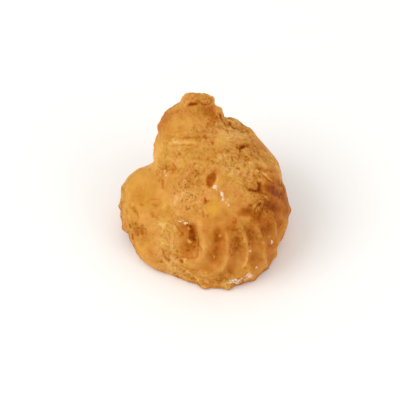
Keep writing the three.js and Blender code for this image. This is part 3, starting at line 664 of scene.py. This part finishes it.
brownAndShadeSpots = (  # browned and pale places on the face; a few are painted shade, and one is painted light
    # peak
    # (0.4, 49.6) is painted shade under the peak's overhang
    (4.4, 48.4, 2.4, 2.6, 0.2), (-7, 56, 3, 2.6, -0.06), (0, 57.6, 4, 2.4, 0.1), (0.4, 49.6, 3, 3, 0.12),
    (1.2, 56.2, 1.8, 1.4, 0.08), (-7.6, 51.4, 1.8, 1.3, -0.1),
    # neck
    (-10, 35, 12, 5, -0.1), (-17.6, 46, 3.4, 5, 0.12, -20), (-3.7, 40.3, 2, 1.4, -0.17),
    (-13, 43, 6, 4, -0.1), (-16.7, 35.6, 1.8, 3.2, -0.08), (0.4, 34.3, 1.8, 1.6, -0.1),
    # shoulder
    (29.6, 28, 4, 5, -0.14), (15.9, 35.6, 2.4, 1.4, 0.2, 20), (19.6, 31.4, 5, 3.4, -0.14),
    (8, 38, 6, 4, -0.13), (7.2, 38.8, 2.6, 2.2, -0.35), (25, 29.6, 6, 3.4, -0.06),
    (13.3, 24.8, 3.4, 3, 0.09), (13, 29, 5, 3, 0.05), (14, 36.4, 3, 2.6, 0.07), (11.1, 40.7, 2, 1.2, 0.1),
    (17.1, 42.2, 2.6, 1.3, -0.17, -28), (10.3, 45.4, 1.2, 1, -0.16), (16.7, 32.2, 2, 1.6, -0.09),
    # cheek
    (-27, 27, 9, 4, -0.1, 25), (-37, 8, 2, 12, 0.15), (-31, 14, 9, 12, 0.12), (-21, 31, 4, 6, -0.1),
    (-36, 12, 2.4, 6, -0.1), (-23.6, 20.6, 5, 4, 0.09), (-27, 5.6, 5, 6, -0.08), (-34, 2, 2.4, 4, 0.14),
    (-20.6, 0.4, 2.4, 3, -0.08), (-34.6, 11.6, 1.4, 1.6, 0.1), (-31, 20, 4, 3, 0.05),
    (-28.7, 1.7, 1.6, 1.4, -0.08),
    # under the neck
    (-14, 28, 6, 4, -0.14), (3.4, 29.6, 6, 3.4, 0.07), (-7.8, 30.1, 4, 2.4, 0.15),
    (-0.4, 23.6, 1.6, 1.6, 0.1), (-7, 23.4, 3.4, 2, -0.06), (1.8, 26.4, 3, 2.4, 0.11),
    (-5.6, 25.8, 2, 1.6, -0.09),
    # middle
    (-7, 19.8, 3, 2.6, 0.2), (3, 14, 7, 13, 0.13), (-17, 9, 4, 5, -0.09), (-4.7, 17.4, 2, 2, 0.09),
    (4.7, 6, 2, 1.8, 0.09), (-0.9, 5.2, 1.6, 1.4, -0.1), (-14.6, 19, 1.8, 1.8, -0.09),
    (-13.6, 16.8, 3, 4, -0.12), (-9.4, 3.4, 7, 3, -0.09), (-3, 21.4, 1.4, 1.4, -0.08),
    (-0.9, 18.9, 1.6, 1.6, 0.09),
    # right side; the first two spots are browning with painted shade on the side away from the key lamp
    (31, 8, 9, 10, 0.26), (28, 11, 7, 5, 0.14), (10, 8.2, 2.4, 4, -0.12), (14.1, 10.4, 1.4, 1.4, 0.1),
    (11.5, 11, 4, 12, -0.07), (13, 20, 5, 6, -0.1), (24.6, 6.6, 1.6, 1.8, -0.13), (34.6, 11, 3, 5, 0.12),
    (21.4, 18.9, 1.6, 1.4, 0.1),
    # ridges
    (21, -6, 14, 13, 0.1), (34, 5, 2.4, 6, -0.14), (-0.5, 0, 3, 6, 0.2), (9, -6, 2, 8, 0.13),
    # (-1.6, -9.6) lightens the low end of the first ridge as painted light against its shading
    (28, -4, 4, 7, -0.1), (0, -12.6, 4, 2.6, -0.08), (-1.6, -9.6, 2.1, 3.4, -0.15, 8),
    (10, -10.6, 1.6, 2.6, -0.13), (12.9, -8.6, 1.3, 2, -0.13), (19.8, -0.8, 1.8, 3, -0.19),
    (1, -5, 3, 4, 0.13), (7.9, 1, 3, 3.4, 0.17), (14.1, 1.9, 3, 3.4, -0.1), (21, -5, 3, 4, -0.06),
    (34.6, 2, 2.4, 3, -0.16), (12.9, 5, 1.8, 1.8, -0.07), (22.3, -1.7, 1.6, 2.6, -0.11),
    (28.7, -8, 1.6, 2.8, -0.08), (26, -15, 2.4, 2.4, -0.08), (1.3, -11.6, 1.6, 1.6, -0.09),
    (31.5, 0, 1.6, 3, -0.1), (-0.4, -7.6, 1.3, 2, 0.09),
    # round the pit
    (-7, -13.5, 10, 4.5, 0.1, 10), (-11.5, -6, 2.4, 4, -0.26, -10), (-15.4, -3.4, 4, 5, -0.13),
    (-13, -12, 4.4, 3, 0.15), (-13.4, -4.4, 2.8, 5, -0.09), (-16, -2.8, 1.6, 1.6, 0.1),
    (-13.3, -9.4, 1.6, 1.4, 0.1),
    # foot
    (-30, -6, 3, 7, 0.1, 30), (5, -24, 6, 1.4, -0.12), (-24, -5, 3, 3, 0.06), (8.1, -17.2, 2.8, 1.8, -0.12),
    (-2, -18, 6, 2.6, 0.15), (0.2, -22.7, 3, 1.2, 0.18), (22, -18, 3, 2.6, 0.07, 30),
    (-15.6, -18, 3, 2, -0.06), (18, -17, 7, 2.6, 0.1, 20), (-14, -18.4, 4, 2, -0.07),
    (-29, -7.4, 2.4, 3, -0.08, 30), (-12.9, -17.4, 3, 2, -0.07), (9.4, -23.6, 2.6, 1.1, 0.12),
    (18, -16.3, 3, 2, -0.1, 20), (-8.1, -18, 1.8, 1.4, 0.1), (-2.1, -17, 2, 1.2, 0.09),
    (12.9, -18, 1.6, 1.2, 0.08), (-22.5, -9, 1.8, 2.6, 0.11, 10),
    # crisper
    (2.5, 21.4, 1.9, 3.5, 0.4, -20, 4), (28.4, 17, 5, 1.9, 0.28, -22, 3), (31, 14.9, 3, 1.5, 0.16, -28, 2),
    (27, 20.6, 4, 3.4, 0.22, 0, 1.5), (32.4, 18.6, 3, 4.5, 0.16, 20, 1.5), (21.2, 5.4, 2.4, 2, 0.26, 0, 2),
    (29.6, 4.3, 2.6, 2.4, 0.1, 0, 1.5), (17.5, 7.7, 3.4, 2.1, 0.3, 0, 2),
    (17.1, 10.3, 1.8, 1.2, 0.12, 0, 1.5), (27.4, 10.3, 3, 1.6, 0.18, 10, 2),
    # (-5.5, -1.9) and (-8.3, -4) are painted shade in the pit
    (-5.5, -1.9, 1.5, 3.3, 0.24, -5, 3), (-8.3, -4, 5, 7.2, 0.19, -6, 4), (31.4, 6.4, 4.6, 4.6, 0.1, 0, 2),
    (12.8, 45.1, 6.6, 1.7, 0.27, -28, 2), (2.8, 45.6, 2, 2.6, 0.19, 0, 1.5),
    # (1.9, 50.6) here and (-4.6, 53.4) below are painted shade under the peak and in its slot
    (6, 49.2, 1.5, 1.6, -0.14, 0, 1.5), (1.9, 50.6, 2.5, 3, 0.22, 0, 1.5),
    (-4.6, 53.4, 2.2, 0.8, 0.12, 0, 1.5), (4.9, -2.6, 3.6, 2.6, 0.22, 0, 3),
    (7.5, -20.7, 2.6, 1.6, 0.2, -10, 2),
)

tints = {  # where the crust stayed yellow, and where cream and sugar dried on it, with painted glints among the pale places
    "yellow": (
        (7, 38.8, 2.4, 2.2, 1, 0, 2), (3.4, 9.4, 2.8, 2.9, 1, 0, 2), (-27, 26, 10, 4, 0.4, 25),
        (-18.5, 9.5, 4, 5, 0.3), (-29, 15, 9, 10, 0.45), (-8, 33, 14, 6, 0.35), (-27, -9, 2, 2.5, 0.5, 30),
        (-1.4, 25.4, 4, 2, 0.3), (8.6, -22.2, 1.8, 1, 0.6), (16.4, -16.6, 4, 2, 0.45, 20),
        (3, -2.6, 1, 2.6, 0.5), (-4, -20, 6, 1.6, 0.4, -5)),
    "creamAndGlint": (
        # the first four, at the foot, are cream and sugar; the rest, at the dimple, brow, pit, notch, ridges
        # and troughs, are painted glints
        (12.2, -22, 2.6, 0.9, 0.8, 4), (18.9, -19.8, 2, 0.9, 0.8, 35), (15.4, -21.6, 1.4, 0.5, 0.5, 25),
        (16.2, -18.5, 0.7, 0.5, 0.6), (3.8, 18.1, 1.4, 0.7, 0.9, -12), (6.9, 14.7, 0.7, 1.8, 0.8, 6),
        (9, 11.6, 0.45, 2, 0.6, 37), (-10.3, 4, 2.2, 0.45, 0.7, -4), (-8.3, 2.8, 0.9, 0.6, 0.9),
        (-17.6, 24.9, 0.5, 0.8, 0.7, 10), (-16.6, 23.4, 0.5, 0.5, 0.5), (28.1, -4.7, 0.45, 2.2, 0.9, 22),
        (19.2, -8.6, 0.4, 0.7, 0.7, -20), (22.3, -16, 0.7, 0.6, 0.45), (-23.4, -16, 1.6, 0.5, 0.5, -35),
        (6, -2.6, 0.5, 0.7, 0.6, -30)),
}


def browningAndShade(p, looks):
    # the base, mottling, the places on the face, fine marks, the relief's cuts, troughs and crests, and the
    # sides that the face doesn't cover; painted shade comes in with the cuts, the troughs, the +X side and
    # some places and marks, and painted highlights with the crests and some pale marks
    low, high, climb = bakeAndShade["front"]
    front = ease(low, high, -p[..., 1] + climb * p[..., 2])
    sideDarkening, *hotAndShadedSide = bakeAndShade["hotAndShadedSide"]
    dark, *underneath = bakeAndShade["underneath"]
    brown = bakeAndShade["base"] + roughNoise(p, *bakeAndShade["mottle"]) + spots(p, brownAndShadeSpots) * front + looks["marked"]
    brown += sum(bakeAndShade[name] * looks[name] for name in ("cut", "trough", "crest"))
    brown += sideDarkening * ease(*hotAndShadedSide, p[..., 0]) + dark * ease(*underneath, p[..., 2])
    return np.clip(brown + bakeAndShade["behind"] * (1 - front), 0, 1)


flecks = (  # pale grains on the crust, sugar and cream at the foot and painted glints at the pit, dimple, brow, notch and ridges: x and y on the face, their spread, turn, number, and sizes
    # foot
    (12.3, -22, (2.1, 0.6), 4, 18, (0.25, 0.5)), (18.8, -19.6, (1.6, 0.7), 35, 24, (0.15, 0.35)),
    (15.6, -21.4, (1, 0.3), 25, 5, (0.15, 0.3)),
    # pit
    (-10.3, 4, (1.6, 0.15), -4, 5, (0.12, 0.22)), (-8.3, 2.8, (0.6, 0.3), 0, 6, (0.16, 0.3)),
    # dimple and brow
    (3.8, 18.1, (1.2, 0.4), -12, 9, (0.16, 0.34)), (7, 14.7, (0.3, 0.9), 6, 7, (0.15, 0.34)),
    (9, 11.6, (0.15, 1.2), 37, 3, (0.12, 0.22)),
    # notch and ridges
    (-17.6, 24.9, (0.2, 0.4), 10, 2, (0.2, 0.3)), (22.3, -16, (0.3, 0.2), 0, 3, (0.14, 0.26)),
    (19.2, -8.6, (0.2, 0.3), 0, 2, (0.12, 0.22)),
)
fleckShape = {
    "seed": 21,
    "scatter": 0.6,  # of the spread
    "landing": 0.6,  # mm squared within which a fleck finds its crust point
    "rings": 5,
    "columns": 8,
    "lumpiness": 0.25,
}


def makeFlecks(crust):
    # each fleck is a small lumpy ball of rings and two poles, half sunk at the crust point under its place
    rng = np.random.default_rng(fleckShape["seed"])
    x, y = facePlace(crust)
    depth = crust @ eye
    centres = []
    radii = []
    for atX, atY, spread, turn, count, sizes in flecks:
        for step in range(count):
            aside, upward = turned(*rng.normal(0, fleckShape["scatter"], 2) * spread, -turn)
            near = (x - atX - aside)**2 + (y - atY - upward)**2 < fleckShape["landing"]
            if near.any():
                centres.append(crust[near][np.argmax(depth[near])])
                radii.append(rng.uniform(*sizes))
    rings, columns = fleckShape["rings"], fleckShape["columns"]
    centres = np.array(centres)
    radii = np.array(radii)[:, None, None]
    up = np.linspace(0, math.pi, rings + 2)[1:-1, None]
    around = circle(columns)
    lumpy = 1 + fleckShape["lumpiness"] * rng.standard_normal((len(radii), rings, columns))
    level = (np.sin(up) * np.cos(around), np.sin(up) * np.sin(around))
    ball = np.stack(np.broadcast_arrays(*level, np.cos(up)), -1)
    ring = centres[:, None, None] + (radii * lumpy)[..., None] * ball
    poles = centres[:, None] + radii * np.array([[0, 0, 1.0], [0, 0, -1.0]])
    points = np.concatenate([ring.reshape(len(radii), -1, 3), poles], 1)
    last = rings * columns
    one = np.vstack([tubeFaces(rings, columns, -1), fanFaces(0, columns, last),
                     fanFaces(last - columns, columns, last + 1)[:, [1, 0, 2]]])
    faces = one + (last + 2) * np.arange(len(radii))[:, None, None]
    return gridMesh("sugarAndGlintFlecks", points.reshape(-1, 3), faces.reshape(-1, 3))


class Wire:
    # a socket whose arithmetic adds Math nodes
    def __init__(self, nodes, socket):
        self.nodes = nodes
        self.socket = socket

    def math(self, operation, other):
        return self.nodes.add("Math", {"operation": operation}, {0: self, 1: other})

    def __add__(self, other):
        return self.math("ADD", other)

    def __sub__(self, other):
        return self.math("SUBTRACT", other)

    def __mul__(self, other):
        return self.math("MULTIPLY", other)

    __radd__ = __add__

    def clamped(self):
        return self.nodes.add("Clamp", {}, {0: self})

    def stretched(self, low, high):
        # 0 at low, 1 at high, smooth between
        return self.nodes.add("MapRange", {"interpolation_type": "SMOOTHSTEP"},
                              {"Value": self, "From Min": low, "From Max": high})


class Nodes:
    # a material's nodes, each added by its type, its settings, and the values or links of its sockets
    def __init__(self, name):
        self.material = bpy.data.materials.new(name)
        self.material.use_nodes = True
        self.tree = self.material.node_tree
        self.shader = self.tree.nodes["Principled BSDF"]

    def plug(self, socket, value):
        if isinstance(value, Wire):
            self.tree.links.new(value.socket, socket)
        else:
            socket.default_value = value

    def add(self, kind, settings, inputs, out=0):
        node = self.tree.nodes.new("ShaderNode" + kind)
        for key, value in settings.items():
            setattr(node, key, value)
        for key, value in inputs.items():
            self.plug(node.inputs[key], value)
        return Wire(self, node.outputs[out])

    def place(self):
        return self.add("TexCoord", {}, {}, "Object")

    def attribute(self, name):
        return self.add("Attribute", {"attribute_name": name}, {}, "Fac")

    def noise(self, place, scale, detail, roughness=0.55, distortion=0.0, out=0):
        inputs = {"Vector": place, "Scale": scale, "Detail": detail, "Roughness": roughness}
        return self.add("TexNoise", {}, {**inputs, "Distortion": distortion}, out)

    def cells(self, place, scale, out="Color", **settings):
        # cells of one random value each, or the distance to their edges
        return self.add("TexVoronoi", settings, {"Vector": place, "Scale": scale}, out)

    def mix(self, amount, first, second, blend="MIX"):
        # the factor and the colours are inputs 0, 6 and 7, and the mixed colour is output 2
        settings = {"data_type": "RGBA", "blend_type": blend}
        return self.add("Mix", settings, {0: amount, 6: first, 7: second}, 2)

    def ramp(self, amount, stops):
        # surface colours at their places from 0 to 1, straight between
        wire = self.add("ValToRGB", {}, {0: amount})
        elements = wire.socket.node.color_ramp.elements
        while len(elements) < len(stops):
            elements.new(1.0)
        for element, (position, colour) in zip(elements, stops):
            element.position = position
            element.color = surface(colour)
        return wire

    def finish(self, sockets):
        # the material, with its shader's sockets plugged
        for key, value in sockets.items():
            self.plug(self.shader.inputs[key], value)
        return self.material


def linear(red, green, blue):
    # a screen colour, 0 to 255, as the light it stands for
    parts = np.array([red, green, blue]) / 255
    return tuple(np.where(parts <= 0.04045, parts / 12.92, ((parts + 0.055) / 1.055)**2.4).tolist())


crustFinish = {
    "stops": (  # how brown, and how the crust looks there
        (0, (238, 190, 118)), (0.2, (225, 169, 91)), (0.4, (209, 148, 68)),
        (0.6, (190, 118, 43)), (0.8, (168, 91, 19)), (1, (132, 56, 0)),
    ),
    "yellow": (220, 162, 60),
    "yellowShare": 0.7,
    "creamAndGlint": (246, 214, 178),
    "creamAndGlintEdge": (0.7, 0.3, 0.75),  # how ragged, and the amounts where it begins and is whole
    "olive": (0.98, 1.02, 0.9),  # what the hue wanders between, as shares of the colour
    "rosy": (1.02, 0.97, 1.07),
    "light": 0.96,  # how bright a white sheet is under the lamps
    "gloss": 0.004,  # what the shine adds
    "darkest": 0.002,
    "roughness": 0.5,
    "matter": (0.2, 0.12),  # added by fine noise, and by rough or cut crust
    "bump": {"Strength": 0.7, "Distance": 0.0009},
    "constants": {  # with some light that goes into the crumb and comes out warmer
        "Coat Weight": 0.01,
        "Coat Roughness": 0.35,
        "Specular IOR Level": 0.06,
        "Subsurface Weight": 0.35,
        "Subsurface Radius": (1.0, 0.45, 0.12),
        "Subsurface Scale": 0.0008,
    },
}

crustNoise = {
    "broad": (150.0, 3.0),  # waves to the metre, detail
    "bend": (300.0, 3.0),
    "bending": 0.004,  # m
    "cells": {"plates": 400.0, "chips": 1000.0},
    "crackCells": 230.0,
    "crackWidth": 0.08,
    "cracked": (0.45, 0.6),  # broad noise over which the cracks come in
    "grains": {  # waves to the metre, detail, roughness, distortion, and what becomes 0 and 1
        "fine": (560, 4, 0.6, 0, 0.3, 0.7), "flakes": (330, 5, 0.65, 1.6, 0.54, 0.66),
        "specks": (1000, 2, 0.5, 0, 0.6, 0.7), "crumbs": (1500, 2, 0.6, 0.8, 0.32, 0.68),
        "hue": (200, 3, 0.6, 0, 0.35, 0.65),
    },
    "browner": {  # what each adds to the browning where rough, and everywhere, and its middle
        "broad": (0, 0.4, 0.5), "fine": (0.16, 0.03, 0.5), "pores": (0, 0.3, 0), "specks": (0.2, 0.05, 0),
        "cracks": (0, 0.12, 0), "flakes": (-0.26, -0.02, 0), "plates": (0.2, 0.05, 0.5),
        "chips": (0.28, 0.02, 0.5), "crumbs": (0.16, 0.01, 0.5),
    },
    "higher": {"fine": 0.4, "flakes": 0.5, "cracks": -0.3, "crumbs": -0.2, "chips": -0.3},
    "smoothHeight": 0.2,  # share of these heights where the crust is smooth
    "speckDepth": 0.3,
    "creamAndGlintHeight": 0.6,
}


def surface(colour):
    # the surface colour that looks like the given one: less the shine, over the light
    seen = (np.array(linear(*colour)) - crustFinish["gloss"]) / crustFinish["light"]
    return (*np.maximum(seen, crustFinish["darkest"]).tolist(), 1.0)


def crustMaterial():
    # browning with its painted shade and highlights from the mesh plus every noise's share, through a ramp
    # of baked colours whose hue wanders, then the yellow places and the cream, sugar and painted glints; the
    # noises' heights are bumps
    nodes = Nodes("crust")
    place = nodes.place()
    looks = {name: nodes.attribute(name) for name in ("browned", "cut", "pores", "yellow", "creamAndGlint", "rough")}
    looks["broad"] = nodes.noise(place, *crustNoise["broad"])
    for name, (*settings, low, high) in crustNoise["grains"].items():
        looks[name] = nodes.noise(place, *settings).stretched(low, high)
    bend = nodes.noise(place, *crustNoise["bend"], out=1)
    bent = nodes.add("VectorMath", {"operation": "MULTIPLY_ADD"},
                     {0: bend, 1: (crustNoise["bending"],) * 3, 2: place})
    for name, scale in crustNoise["cells"].items():
        looks[name] = nodes.cells(bent, scale)
    rough, fine = looks["rough"], looks["fine"]
    edges = nodes.cells(bent, crustNoise["crackCells"], 0, feature="DISTANCE_TO_EDGE")
    looks["cracks"] = edges.stretched(crustNoise["crackWidth"], 0) * rough
    looks["cracks"] *= looks["broad"].stretched(*crustNoise["cracked"])
    amount = looks["browned"]
    for name, (whereRough, everywhere, middle) in crustNoise["browner"].items():
        amount += (looks[name] - middle) * (rough * whereRough + everywhere)
    baked = nodes.ramp(amount.clamped(), crustFinish["stops"])
    tint = nodes.mix(looks["hue"], (*crustFinish["olive"], 1.0), (*crustFinish["rosy"], 1.0))
    colour = nodes.mix(looks["yellow"] * crustFinish["yellowShare"], nodes.mix(1.0, baked, tint, "MULTIPLY"),
                       surface(crustFinish["yellow"]))
    ragged, low, high = crustFinish["creamAndGlintEdge"]
    creamAndGlint = (looks["creamAndGlint"] + (fine - 0.5) * ragged).stretched(low, high)
    colour = nodes.mix(creamAndGlint, colour, surface(crustFinish["creamAndGlint"]))
    height = sum(looks[name] * share for name, share in crustNoise["higher"].items())
    height *= rough + crustNoise["smoothHeight"]
    height += creamAndGlint * crustNoise["creamAndGlintHeight"] - looks["specks"] * crustNoise["speckDepth"]
    bump = nodes.add("Bump", {}, {"Height": height, **crustFinish["bump"]})
    byFine, byRough = crustFinish["matter"]
    matt = crustFinish["roughness"] + (fine - 0.5) * byFine + (rough + looks["cut"]) * byRough
    return nodes.finish({"Base Color": colour, "Roughness": matt.clamped(), "Normal": bump,
                         **crustFinish["constants"]})


fleckFinish = {
    "white": (246, 232, 214),
    "creamAndGlint": (238, 198, 150),
    "patches": (900.0, 2.0),  # waves to the metre, detail
    "edge": (0.42, 0.6),  # the noise where cream ends and white begins
    "constants": {"Roughness": 0.35, "IOR": 1.5},
}


def fleckMaterial():
    # white sugar and dried cream, and the white of painted glints, mixed by noise
    nodes = Nodes("sugarAndGlints")
    patch = nodes.noise(nodes.place(), *fleckFinish["patches"]).stretched(*fleckFinish["edge"])
    white, creamAndGlint = (surface(fleckFinish[name]) for name in ("white", "creamAndGlint"))
    return nodes.finish({"Base Color": nodes.mix(patch, creamAndGlint, white), **fleckFinish["constants"]})


crust, crustGrid = makeCrust()
crust.data.materials.append(crustMaterial())
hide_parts("puff")
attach(crust, "root")
print("crust:", len(crust.data.polygons), "triangles")

sugarAndGlints = makeFlecks(crustGrid)
sugarAndGlints.data.materials.append(fleckMaterial())
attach(sugarAndGlints, "root")
print("flecks:", len(sugarAndGlints.data.polygons), "triangles")


studio = {
    "floor": (250, 250, 249),
    "floorSize": 4.0,  # m
    "floorRoughness": 0.9,
    "sky": (255, 254, 252),
    "skyStrength": 0.78,
    "lights": {  # direction it comes from, distance and width (m), strength (W), colour
        "key": ((-0.62, -0.25, 0.75), 1.6, 1.1, 10.0, (255, 254, 251)),
        "fill": ((0.8, -0.35, 0.5), 1.8, 1.5, 6.0, (255, 253, 251)),
    },
    "lit": (0, 0, 0.02),  # what the lamps look at, m
}


def makeFloor():
    # a pale square round the origin
    half = studio["floorSize"] / 2 / mm
    corners = half * np.array([[-1, -1, 0], [1, -1, 0], [1, 1, 0], [-1, 1, 0]])
    piece = gridMesh("floor", corners, np.array([[0, 1, 2, 3]]), False)
    sockets = {"Base Color": (*linear(*studio["floor"]), 1.0), "Roughness": studio["floorRoughness"]}
    piece.data.materials.append(Nodes("floor").finish(sockets))


def aim(thing, place, target):
    # turn a light or camera so that it looks from place to target
    thing.location = place
    thing.rotation_mode = "QUATERNION"
    thing.rotation_quaternion = (Vector(target) - thing.location).to_track_quat("-Z", "Y")


def makeLights():
    # the sky, and round lamps that look at the bun from their directions
    world = bpy.data.worlds.new("sky")
    world.use_nodes = True
    background = world.node_tree.nodes["Background"]
    background.inputs["Color"].default_value = (*linear(*studio["sky"]), 1.0)
    background.inputs["Strength"].default_value = studio["skyStrength"]
    bpy.context.scene.world = world
    for name, (direction, distance, width, power, colour) in studio["lights"].items():
        lamp = bpy.data.lights.new(name, "AREA")
        lamp.shape = "DISK"
        lamp.size = width
        lamp.energy = power
        lamp.color = linear(*colour)
        aim(addObject(name, lamp), unit(np.array(direction)) * distance, studio["lit"])


def makeCamera():
    # far enough for the frame's width at the target: distance = width * lens / sensor
    camera = bpy.data.cameras.new("camera")
    camera.lens = view["lens"]
    camera.sensor_width = view["sensor"]
    camera.clip_start = view["nearest"]
    target = np.array(view["target"]) * mm
    distance = view["frameWidth"] * mm * view["lens"] / view["sensor"]
    thing = addObject("camera", camera)
    aim(thing, target + eye * distance, target)
    bpy.context.scene.camera = thing


makeFloor()
makeLights()
makeCamera()
bpy.context.scene.view_settings.view_transform = "Standard"
print("floor, light and camera ready")
